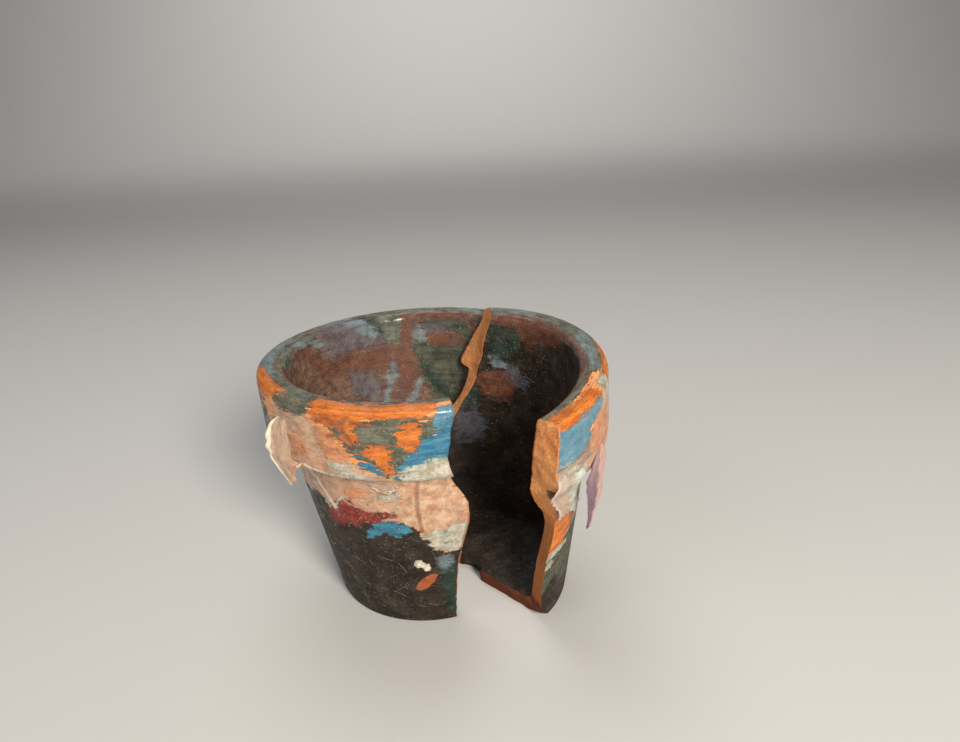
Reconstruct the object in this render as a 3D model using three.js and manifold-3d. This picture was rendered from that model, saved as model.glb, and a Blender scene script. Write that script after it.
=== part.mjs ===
// A terracotta flower pot, cracked right through into two shards, with paint peeling off it.
// Millimetres and degrees, +Z up. The larger shard stands upright and the smaller one leans
// into its bore. The origin lies under the middle of the whole object.

import * as THREE from 'three';
import { mergeVertices } from 'three/addons/utils/BufferGeometryUtils.js';
import Module from 'manifold-3d';

const wasm = await Module();
wasm.setup();

// The pot as it was fired
const RIM_RADIUS = 40;
const POT_HEIGHT = 65.5;
const COLLAR_HEIGHT = 17.4;
const COLLAR_TAPER = 0.85;
const COLLAR_STEP = 4.6;
const BASE_RADIUS = 25.1;
const RIM_WALL = 6.8;
const BASE_WALL = 4.7;
const FLOOR_THICKNESS = 4.5;

// Rounded edges of the section
const RIM_OUTER_ROUND = 2.6;
const RIM_INNER_ROUND = 2.2;
const COLLAR_ROUND = 1.4;
const COLLAR_ROOT_ROUND = 0.9;
const BASE_ROUND = 1;
const FLOOR_FILLET = 3;

// The drain hole was pushed through a little away from the pot's axis
const DRAIN_RADIUS = 6.5;
const DRAIN_OFFSET = 4.5;
const DRAIN_DIRECTION = 161;

// The break: share of the pot's height, then the angle round the pot at the bore and outside
const FRONT_BREAK = [
  [0, -71, -73],
  [0.07, -70, -73.5],
  [0.26, -67.5, -74.5],
  [0.34, -65.5, -73.3],
  [0.42, -62.5, -71],
  [0.5, -64, -68.7],
  [0.56, -68.5, -67.7],
  [0.62, -73, -69.8],
  [0.68, -76, -73.7],
  [0.73, -76.2, -75.7],
  [1, -74.5, -74.6],
];
const REAR_BREAK = [
  [0, 101, 101],
  [0.2, 92, 93],
  [0.4, 79, 80],
  [0.56, 67.5, 69.9],
  [0.6, 63.8, 65.5],
  [0.65, 58.8, 62],
  [0.7, 54, 60.5],
  [0.775, 50.5, 57.5],
  [0.82, 48.6, 55.6],
  [0.88, 46.8, 52.6],
  [0.94, 44.5, 49.9],
  [1, 41.5, 47.5],
];

// Splinters lost from the larger shard along the back of the break, as an angle
const SPLINTER_LOSS = 7;

// How the smaller shard stands: it has swung open, leans, and touches the bore at the back
const SHARD_TURN = 24;
const SHARD_LEAN_FORWARD = 6.7;
const SHARD_LEAN_SIDEWAYS = -4.7;
const SHARD_CONTACT_SHARE = 0.775;
const SHARD_CONTACT_DIRECTION = 66;
const SHARD_CLEARANCE = 2.6;
const SHARD_BASE_WEAR = 1.5;

// Peeling skins of paint: thickness, gap to the pot, and how far each one has come away
const SKIN_THICKNESS = 0.5;
const SKIN_GAP = 0.35;
const LEFT_PEEL_LIFT = 3;
const LEFT_PEEL_DROP = 6.5;
const LEFT_PEEL_HEIGHT = 13;
const LEFT_PEEL_ANGLES = [206, 229];
const HANGING_PEEL_LENGTH = 20;
const HANGING_PEEL_WIDTH = 9;
const HANGING_PEEL_TIP = 1;
const HANGING_PEEL_ANGLE = -33;
const HANGING_PEEL_SWING = 2.5;
const CORNER_PEEL_WIDTH = 6.6;
const CORNER_PEEL_ANGLE = -46;
const CORNER_PEEL_LAP = 2;
const CORNER_PEEL_DROP = 13;

// Steps of the faceted surfaces
const TURN_STEPS = 96;
const ROUND_STEPS = 4;
const BREAK_STEPS = 40;
const SKIN_STEPS = 8;

const RADIANS = Math.PI / 180;

// Radii of the pot at a height
const COLLAR_BOTTOM = POT_HEIGHT - COLLAR_HEIGHT;
const COLLAR_FOOT_RADIUS = RIM_RADIUS - COLLAR_TAPER;
const BODY_TOP_RADIUS = COLLAR_FOOT_RADIUS - COLLAR_STEP;
const BORE_RADIUS = RIM_RADIUS - RIM_WALL;

function between(from, to, share) {
  return from + (to - from) * share;
}

function bodyRadius(height) {
  return between(BASE_RADIUS, BODY_TOP_RADIUS, height / COLLAR_BOTTOM);
}

function collarRadius(height) {
  return between(COLLAR_FOOT_RADIUS, RIM_RADIUS, (height - COLLAR_BOTTOM) / COLLAR_HEIGHT);
}

function outsideRadius(height) {
  return height < COLLAR_BOTTOM ? bodyRadius(height) : collarRadius(height);
}

const FLOOR_EDGE_RADIUS = bodyRadius(FLOOR_THICKNESS) - BASE_WALL;

function boreRadius(height) {
  const share = (height - FLOOR_THICKNESS) / (POT_HEIGHT - FLOOR_THICKNESS);
  return between(FLOOR_EDGE_RADIUS, BORE_RADIUS, share);
}

function polar(angle, radius, height) {
  return new THREE.Vector3(
    radius * Math.cos(angle * RADIANS),
    radius * Math.sin(angle * RADIANS),
    height,
  );
}

// A closed outline whose corners, each given as [radius, height, rounding], are rounded off
function roundedOutline(corners) {
  const points = corners.map(([x, y]) => new THREE.Vector2(x, y));
  const path = new THREE.Path();
  points.forEach((corner, i) => {
    const rounding = corners[i][2];
    const before = points[(i + points.length - 1) % points.length];
    const after = points[(i + 1) % points.length];
    const start = before.clone().sub(corner).setLength(rounding).add(corner);
    const end = after.clone().sub(corner).setLength(rounding).add(corner);
    if (i === 0) {
      path.moveTo(start.x, start.y);
    } else {
      path.lineTo(start.x, start.y);
    }
    if (rounding > 0) {
      path.quadraticCurveTo(corner.x, corner.y, end.x, end.y);
    }
  });
  path.closePath();
  return path.getPoints(ROUND_STEPS);
}

// Solids for joining and cutting
function solidOf(geometry) {
  geometry.deleteAttribute('normal');
  geometry.deleteAttribute('uv');
  const merged = mergeVertices(geometry);
  return new wasm.Manifold(new wasm.Mesh({
    numProp: 3,
    vertProperties: new Float32Array(merged.attributes.position.array),
    triVerts: new Uint32Array(merged.index.array),
  }));
}

function geometryOf(solid) {
  const mesh = solid.getMesh();
  const geometry = new THREE.BufferGeometry();
  geometry.setAttribute('position', new THREE.BufferAttribute(mesh.vertProperties, 3));
  geometry.setIndex(new THREE.BufferAttribute(mesh.triVerts, 1));
  geometry.computeVertexNormals();
  return geometry;
}

// The whole pot, turned about its axis, with the drain hole through its floor
function wholePot() {
  const pilotRadius = (DRAIN_RADIUS - DRAIN_OFFSET) / 2;
  const outline = roundedOutline([
    [pilotRadius, 0, 0],
    [BASE_RADIUS, 0, BASE_ROUND],
    [BODY_TOP_RADIUS, COLLAR_BOTTOM, COLLAR_ROOT_ROUND],
    [COLLAR_FOOT_RADIUS, COLLAR_BOTTOM, COLLAR_ROUND],
    [RIM_RADIUS, POT_HEIGHT, RIM_OUTER_ROUND],
    [BORE_RADIUS, POT_HEIGHT, RIM_INNER_ROUND],
    [FLOOR_EDGE_RADIUS, FLOOR_THICKNESS, FLOOR_FILLET],
    [pilotRadius, FLOOR_THICKNESS, 0],
  ]);
  const turned = new THREE.LatheGeometry(outline, TURN_STEPS);
  turned.rotateX(90 * RADIANS);
  const drain = new THREE.CylinderGeometry(DRAIN_RADIUS, DRAIN_RADIUS, 3 * FLOOR_THICKNESS, 32);
  drain.rotateX(90 * RADIANS);
  drain.translate(...polar(DRAIN_DIRECTION, DRAIN_OFFSET, 0).toArray());
  return solidOf(turned).subtract(solidOf(drain));
}

// Angle of a break at a share of the height, for a radius between the bore and beyond the outside
function breakAngle(table, share, radius) {
  const last = table.length - 1;
  const upper = Math.min(last, Math.max(1, table.findIndex(([level]) => level >= share)));
  const [low, lowBore, lowOutside] = table[upper - 1];
  const [high, highBore, highOutside] = table[upper];
  const part = (share - low) / (high - low);
  const bore = between(lowBore, highBore, part);
  const outside = between(lowOutside, highOutside, part);
  const depth = (radius - boreRadius(share * POT_HEIGHT)) / between(BASE_WALL, RIM_WALL, share);
  return between(bore, outside, Math.max(0, depth));
}

// The sector of the pot that broke away: a block bent round the axis between the two breaks
function breakSector(rearLoss) {
  const shares = [...FRONT_BREAK, ...REAR_BREAK].map(([share]) => share);
  const levels = [...new Set(shares)].sort((a, b) => a - b);
  const top = levels.length - 1;
  const margin = FLOOR_THICKNESS;
  const hubRadius = (DRAIN_RADIUS - DRAIN_OFFSET) * 0.75;
  const block = new THREE.BoxGeometry(1, 1, 1, 2, BREAK_STEPS, top);
  const position = block.attributes.position;
  for (let i = 0; i < position.count; i += 1) {
    const ring = Math.round((position.getX(i) + 0.5) * 2);
    const turn = position.getY(i) + 0.5;
    const level = Math.round((position.getZ(i) + 0.5) * top);
    const share = levels[level];
    const height = share * POT_HEIGHT;
    const beyond = between(BASE_RADIUS, RIM_RADIUS, share) + COLLAR_STEP + COLLAR_ROUND;
    const radius = [hubRadius, boreRadius(height), beyond][ring];
    const front = breakAngle(FRONT_BREAK, share, radius);
    const rear = breakAngle(REAR_BREAK, share, radius) + rearLoss;
    const overshoot = (level === top ? margin : 0) - (level === 0 ? margin : 0);
    const point = polar(between(front, rear, turn), radius, height + overshoot);
    position.setXYZ(i, point.x, point.y, point.z);
  }
  return solidOf(block);
}

// Where the smaller shard stands: its rear edge lies in the bore, its worn foot on the ground
function shardPlacement() {
  const turned = new THREE.Euler(
    SHARD_LEAN_FORWARD * RADIANS,
    SHARD_LEAN_SIDEWAYS * RADIANS,
    SHARD_TURN * RADIANS,
    'XYZ',
  );
  const contactHeight = SHARD_CONTACT_SHARE * POT_HEIGHT;
  const contactRadius = outsideRadius(contactHeight);
  const contactAngle = breakAngle(REAR_BREAK, SHARD_CONTACT_SHARE, contactRadius);
  const contact = polar(contactAngle, contactRadius, contactHeight).applyEuler(turned);
  const footAngle = breakAngle(FRONT_BREAK, 0, BASE_RADIUS);
  const foot = polar(footAngle, BASE_RADIUS, 0).applyEuler(turned);
  const lift = -foot.z - SHARD_BASE_WEAR;
  const reach = boreRadius(contact.z + lift) - SHARD_CLEARANCE;
  const place = polar(SHARD_CONTACT_DIRECTION, reach, 0).sub(contact).setZ(lift);
  const group = new THREE.Group();
  group.rotation.copy(turned);
  group.position.copy(place);
  group.updateMatrix();
  return group;
}

// The ground under the smaller shard, seen in that shard's own frame
function groundUnder(group) {
  const size = 4 * RIM_RADIUS;
  const ground = new THREE.BoxGeometry(size, size, size);
  ground.translate(0, 0, -size / 2);
  ground.applyMatrix4(group.matrix.clone().invert());
  return solidOf(ground);
}

// A skin of paint: a thin sheet laid out by place(across, along), thickened outwards
function paintSkin(place) {
  const sheet = new THREE.BoxGeometry(1, 1, 1, SKIN_STEPS, SKIN_STEPS, 1);
  const position = sheet.attributes.position;
  for (let i = 0; i < position.count; i += 1) {
    const across = position.getX(i) + 0.5;
    const along = position.getY(i) + 0.5;
    const depth = (position.getZ(i) + 0.5) * SKIN_THICKNESS;
    const [angle, radius, height] = place(across, along);
    const point = polar(angle, radius + depth, height);
    position.setXYZ(i, point.x, point.y, point.z);
  }
  return geometryOf(solidOf(sheet));
}

// The pale skin at the left, held along one side of the collar and curling away at the other
function leftPeel() {
  const top = COLLAR_BOTTOM + LEFT_PEEL_HEIGHT;
  const [free, held] = LEFT_PEEL_ANGLES;
  return paintSkin((across, along) => {
    const curl = (1 - across) * (1 - 0.7 * along);
    const foot = COLLAR_BOTTOM - LEFT_PEEL_DROP * (1 - across);
    const height = between(foot, top, along);
    const onCollar = collarRadius(Math.max(height, COLLAR_BOTTOM));
    return [between(free, held, across), onCollar + SKIN_GAP + LEFT_PEEL_LIFT * curl, height];
  });
}

// The skin that hangs from the foot of the collar to a point, clear of the body
function hangingPeel() {
  return paintSkin((across, along) => {
    const width = between(HANGING_PEEL_TIP, HANGING_PEEL_WIDTH, Math.sqrt(along));
    const radius = COLLAR_FOOT_RADIUS + SKIN_GAP - HANGING_PEEL_SWING * (1 - along);
    const offset = (across - 0.5) * width - 0.3 * HANGING_PEEL_WIDTH * (1 - along);
    const angle = HANGING_PEEL_ANGLE - SHARD_TURN + offset / radius / RADIANS;
    return [angle, radius, COLLAR_BOTTOM + COLLAR_ROUND - HANGING_PEEL_LENGTH * (1 - along)];
  });
}

// The skin that bridges the step under the collar at the front corner of the smaller shard
function cornerPeel() {
  const top = COLLAR_BOTTOM + CORNER_PEEL_LAP;
  const bottom = COLLAR_BOTTOM - CORNER_PEEL_DROP;
  return paintSkin((across, along) => {
    const height = between(bottom, top, along);
    const slope = Math.max(0, (COLLAR_BOTTOM - height) / CORNER_PEEL_DROP);
    const radius = between(COLLAR_FOOT_RADIUS, bodyRadius(bottom), slope) + SKIN_GAP;
    const offset = (across - 0.5) * CORNER_PEEL_WIDTH;
    return [CORNER_PEEL_ANGLE - SHARD_TURN + offset / radius / RADIANS, radius, height];
  });
}

function piece(name, geometry, colour, roughness) {
  const material = new THREE.MeshStandardMaterial({ color: colour, roughness, metalness: 0 });
  const mesh = new THREE.Mesh(geometry, material);
  mesh.name = name;
  return mesh;
}

// The broken pot
const pot = wholePot();
const leaning = shardPlacement();
const mainShard = pot.subtract(breakSector(SPLINTER_LOSS));
const sideShard = pot.intersect(breakSector(0)).subtract(groundUnder(leaning));

leaning.add(piece('side_shard', geometryOf(sideShard), 0xb5683a, 0.85));
leaning.add(piece('hanging_paint_peel', hangingPeel(), 0x86657f, 0.55));
leaning.add(piece('corner_paint_peel', cornerPeel(), 0xc9beb0, 0.6));

const standing = new THREE.Group();
standing.add(piece('main_shard', geometryOf(mainShard), 0xa9643c, 0.85));
standing.add(piece('left_paint_peel', leftPeel(), 0xdcc8b4, 0.6));
standing.add(leaning);

// Set the middle of the whole object's footprint on the origin
const reach = new THREE.Box3().setFromObject(standing, true);
const middle = reach.getCenter(new THREE.Vector3());
standing.position.set(-middle.x, -middle.y, -reach.min.z);

const flowerPot = new THREE.Group();
flowerPot.add(standing);

export default flowerPot;
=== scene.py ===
import functools
import math
import random

import bmesh
import bpy
import numpy as np
from mathutils import Matrix, Vector, noise


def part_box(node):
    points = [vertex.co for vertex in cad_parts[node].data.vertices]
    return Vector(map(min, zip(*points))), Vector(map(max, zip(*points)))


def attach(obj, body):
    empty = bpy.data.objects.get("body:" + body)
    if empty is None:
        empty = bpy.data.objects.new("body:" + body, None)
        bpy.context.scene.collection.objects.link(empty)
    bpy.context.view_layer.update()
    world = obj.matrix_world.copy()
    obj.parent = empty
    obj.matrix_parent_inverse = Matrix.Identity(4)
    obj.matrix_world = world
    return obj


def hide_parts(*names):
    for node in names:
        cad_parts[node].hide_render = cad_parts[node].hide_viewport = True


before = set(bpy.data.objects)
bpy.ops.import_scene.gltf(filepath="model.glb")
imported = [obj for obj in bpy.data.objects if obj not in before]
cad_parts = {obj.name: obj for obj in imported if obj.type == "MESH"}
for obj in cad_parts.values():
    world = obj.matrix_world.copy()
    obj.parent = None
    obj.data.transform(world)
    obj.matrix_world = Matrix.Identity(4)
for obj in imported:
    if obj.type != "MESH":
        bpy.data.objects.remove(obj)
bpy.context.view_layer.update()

MM = 0.001

# Sizes of the pot in millimetres, as the solids have them
RIM_RADIUS = 40.0
POT_HEIGHT = 65.5
COLLAR_HEIGHT = 17.4
COLLAR_TAPER = 0.85
COLLAR_STEP = 4.6
BASE_RADIUS = 25.1
RIM_WALL = 6.8
BASE_WALL = 4.7
FLOOR_THICKNESS = 4.5
RIM_OUTER_ROUND = 2.6
RIM_INNER_ROUND = 2.2
COLLAR_ROUND = 1.4
COLLAR_ROOT_ROUND = 0.9
BASE_ROUND = 1.0
FLOOR_FILLET = 3.0
DRAIN_RADIUS = 6.5
DRAIN_OFFSET = 4.5
DRAIN_DIRECTION = 161.0

COLLAR_BOTTOM = POT_HEIGHT - COLLAR_HEIGHT
COLLAR_FOOT_RADIUS = RIM_RADIUS - COLLAR_TAPER
BODY_TOP_RADIUS = COLLAR_FOOT_RADIUS - COLLAR_STEP
BORE_RADIUS = RIM_RADIUS - RIM_WALL

# The break: share of the height, then the angle at the bore and outside, as the solids have it
FRONT_BREAK = (
    (0, -71, -73), (0.07, -70, -73.5), (0.26, -67.5, -74.5), (0.34, -65.5, -73.3),
    (0.42, -62.5, -71), (0.5, -64, -68.7), (0.56, -68.5, -67.7), (0.62, -73, -69.8),
    (0.68, -76, -73.7), (0.73, -76.2, -75.7), (1, -74.5, -74.6),
)
REAR_BREAK = (
    (0, 101, 101), (0.2, 92, 93), (0.4, 79, 80), (0.56, 67.5, 69.9), (0.6, 63.8, 65.5),
    (0.65, 58.8, 62), (0.7, 54, 60.5), (0.775, 50.5, 57.5), (0.82, 48.6, 55.6),
    (0.88, 46.8, 52.6), (0.94, 44.5, 49.9), (1, 41.5, 47.5),
)
SPLINTER_LOSS = 7.0

# How the smaller shard stands beside the larger one
SHARD_TURN = 24.0
SHARD_LEANS = (6.7, -4.7)
SHARD_FOOT = (11.92, -6.90, -0.63)
CHIP_FACING = (0.25, 0.55, 0.8)
CHIP_DEPTH = 1.7

# The solids' flat facets lie a hair inside the true round
FACET_EASE = 0.9992

# How far the breaks have crumbled back: everywhere, then in broad and in small lumps of the given sizes
CRUMBLE_EVEN = 0.12
CRUMBLE_BROAD = 0.32
CRUMBLE_SMALL = 0.22
BROAD_LUMP = 3.4
SMALL_LUMP = 1.3
CRUMBLE_LEAST_RADIUS = 8.0

# Share of the wall, from the bore outwards, that is raw clay at a shard's last break; over one is all of it
MAIN_RAW_SHARE = 0.7
SIDE_RAW_SHARE = 1.1

# Fineness of the meshes, and how far from the rim's middle the two drawn lines stop
ALONG_STEPS = 150
ACROSS_STEPS = 14
MAIN_STEPS = 230
SIDE_STEPS = 150
ROUND_STEPS = 9
CROWN_REACH = 1.0

# The share of a sweep that counts as its very end, and what stands for nought in a division
SWEEP_END = 1e-4
TINY = 1e-9

# The profile line runs up the outside, over the rim and down the bore
RIM_START = POT_HEIGHT
BORE_START = POT_HEIGHT + RIM_WALL
MM_PER_DEGREE = 0.62

# How high the collar's foot and the pot's underside reach, and how far off a patch distances are kept
COLLAR_FOOT = 2.0
UNDERSIDE = 0.4
PAINT_REACH = 8.0


def between(low, high, share):
    return low + (high - low) * share


def body_radius(height):
    return between(BASE_RADIUS, BODY_TOP_RADIUS, height / COLLAR_BOTTOM)


FLOOR_EDGE_RADIUS = body_radius(FLOOR_THICKNESS) - BASE_WALL


def bore_radius(height):
    share = (height - FLOOR_THICKNESS) / (POT_HEIGHT - FLOOR_THICKNESS)
    return between(FLOOR_EDGE_RADIUS, BORE_RADIUS, share)


def collar_radius(height):
    return between(COLLAR_FOOT_RADIUS, RIM_RADIUS, (height - COLLAR_BOTTOM) / COLLAR_HEIGHT)


# Where the larger shard's axis stands in the frame
main_low, main_high = (Vector(corner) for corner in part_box("main_shard"))
rim_reach = (main_high.y - main_low.y) / 2
POT_AXIS = Vector((main_low.x + rim_reach, main_low.y + rim_reach, 0))
MAIN_PLACE = Matrix.Translation(POT_AXIS)
SIDE_PLACE = (
    Matrix.Translation(POT_AXIS + Vector(SHARD_FOOT) * MM)
    @ Matrix.Rotation(math.radians(SHARD_LEANS[0]), 4, "X")
    @ Matrix.Rotation(math.radians(SHARD_LEANS[1]), 4, "Y")
    @ Matrix.Rotation(math.radians(SHARD_TURN), 4, "Z")
)


def line_points(corners, count):
    """Evenly spaced points along a line whose corners, (radius, height, rounding), are rounded."""
    fine = []
    for i, (r, z, rounding) in enumerate(corners):
        here = np.array((r, z))
        if 0 < i < len(corners) - 1 and rounding > 0:
            towards = [np.array(corners[j][:2]) - here for j in (i - 1, i + 1)]
            start, end = (here + way / np.linalg.norm(way) * rounding for way in towards)
            for t in np.linspace(0, 1, ROUND_STEPS):
                fine.append((1 - t) ** 2 * start + 2 * t * (1 - t) * here + t * t * end)
        else:
            fine.append(here)
    fine = np.array(fine)
    lengths = np.concatenate([[0], np.cumsum(np.linalg.norm(np.diff(fine, axis=0), axis=1))])
    where = np.linspace(0, lengths[-1], count)
    return np.stack([np.interp(where, lengths, fine[:, k]) for k in (0, 1)], axis=-1)


def wall_section():
    """Points of the wall's section, [along from drain hole to rim, across from bore to outside]."""
    crown = (RIM_RADIUS + BORE_RADIUS) / 2
    outside = line_points([
        (DRAIN_RADIUS, 0, 0), (BASE_RADIUS, 0, BASE_ROUND),
        (BODY_TOP_RADIUS, COLLAR_BOTTOM, COLLAR_ROOT_ROUND),
        (COLLAR_FOOT_RADIUS, COLLAR_BOTTOM, COLLAR_ROUND),
        (RIM_RADIUS, POT_HEIGHT, RIM_OUTER_ROUND), (crown + CROWN_REACH, POT_HEIGHT, 0),
    ], ALONG_STEPS + 1)
    bore = line_points([
        (DRAIN_RADIUS, FLOOR_THICKNESS, 0), (FLOOR_EDGE_RADIUS, FLOOR_THICKNESS, FLOOR_FILLET),
        (BORE_RADIUS, POT_HEIGHT, RIM_INNER_ROUND), (crown - CROWN_REACH, POT_HEIGHT, 0),
    ], ALONG_STEPS + 1)
    share = np.linspace(0, 1, ACROSS_STEPS + 1)[None, :, None]
    return bore[:, None] * (1 - share) + outside[:, None] * share


def smooth_table(table, column, shares):
    """A table's column at each share of the height, eased between its rows."""
    levels = np.array([row[0] for row in table], float)
    values = np.array([row[column] for row in table], float)
    slopes = np.gradient(values, levels)
    i = np.clip(np.searchsorted(levels, shares) - 1, 0, len(levels) - 2)
    gap = levels[i + 1] - levels[i]
    t = np.clip((shares - levels[i]) / gap, 0, 1)
    rise = (2 * t ** 3 - 3 * t ** 2 + 1) * values[i] + (3 * t ** 2 - 2 * t ** 3) * values[i + 1]
    return rise + gap * ((t ** 3 - 2 * t ** 2 + t) * slopes[i] + (t ** 3 - t ** 2) * slopes[i + 1])


def break_angle(table, radius, height):
    share = np.clip(height / POT_HEIGHT, 0, 1)
    at_bore = smooth_table(table, 1, share)
    outside = smooth_table(table, 2, share)
    depth = (radius - bore_radius(height)) / between(BASE_WALL, RIM_WALL, share)
    return at_bore + (outside - at_bore) * np.maximum(0, depth)


def noise_field(section, size, seed):
    """Smooth noise between about -1 and 1 at each point of the section, with lumps of the given size."""
    shift = Vector((seed * 17.3, seed * 5.9, seed * 11.1))
    return np.array([[noise.noise(Vector((*p, 0)) / size + shift) for p in row] for row in section])


def drain_edge(angle):
    """Distance from the pot's axis to the drain hole's edge in a direction."""
    turn = np.radians(angle - DRAIN_DIRECTION)
    return DRAIN_OFFSET * np.cos(turn) + np.sqrt(DRAIN_RADIUS ** 2 - (DRAIN_OFFSET * np.sin(turn)) ** 2)


def swept_shard(steps):
    """The wall's section drawn out in even steps; each vertex keeps its place in the section and sweep."""
    section = wall_section()
    bm = bmesh.new()
    along_layer = bm.verts.layers.float.new("along")
    across_layer = bm.verts.layers.float.new("across")
    sweep_layer = bm.verts.layers.float.new("sweep")
    bmesh.ops.create_grid(bm, x_segments=ALONG_STEPS, y_segments=ACROSS_STEPS, size=0.5)
    for vert in bm.verts:
        vert[along_layer] = vert.co.x + 0.5
        vert[across_layer] = vert.co.y + 0.5
        r, z = section[round(vert[along_layer] * ALONG_STEPS), round(vert[across_layer] * ACROSS_STEPS)]
        vert.co = (r, 0, z)
    first = set(bm.verts)
    drawn = bmesh.ops.extrude_face_region(bm, geom=bm.faces[:])["geom"]
    for vert in (part for part in drawn if isinstance(part, bmesh.types.BMVert)):
        vert.co.y = RIM_RADIUS
        vert[sweep_layer] = 1
    ribs = [edge for edge in bm.edges if (edge.verts[0] in first) != (edge.verts[1] in first)]
    bmesh.ops.subdivide_edges(bm, edges=ribs, cuts=steps - 1)
    bmesh.ops.recalc_face_normals(bm, faces=bm.faces[:])
    return bm


def signed_distance(place, patches):
    """How far inside the nearest patch each place is, in millimetres; less than nought outside."""
    best = np.full(len(place), -PAINT_REACH)
    for patch in patches:
        ring = np.array(patch, float)
        past_low = place > ring.min(axis=0) - PAINT_REACH
        near = np.all(past_low & (place < ring.max(axis=0) + PAINT_REACH), axis=1)
        spots = place[near]
        nearest = np.full(len(spots), np.inf)
        inside = np.zeros(len(spots), bool)
        for a, b in zip(ring, np.roll(ring, -1, axis=0)):
            along = b - a
            t = np.clip(((spots - a) @ along) / max(along @ along, TINY), 0, 1)
            nearest = np.minimum(nearest, np.linalg.norm(spots - a - t[:, None] * along, axis=1))
            crosses = (a[1] > spots[:, 1]) != (b[1] > spots[:, 1])
            rise = along[1] if along[1] else TINY
            inside ^= crosses & (spots[:, 0] < a[0] + (spots[:, 1] - a[1]) / rise * along[0])
        best[near] = np.maximum(best[near], np.where(inside, nearest, -nearest))
    return best


def outside(*points):
    return [(angle * MM_PER_DEGREE, height) for angle, height in points]


def bore(*points):
    return [(angle * MM_PER_DEGREE, BORE_START + POT_HEIGHT - height) for angle, height in points]


def rim(*points):
    return [(angle * MM_PER_DEGREE, RIM_START + RIM_RADIUS - radius) for angle, radius in points]


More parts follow.
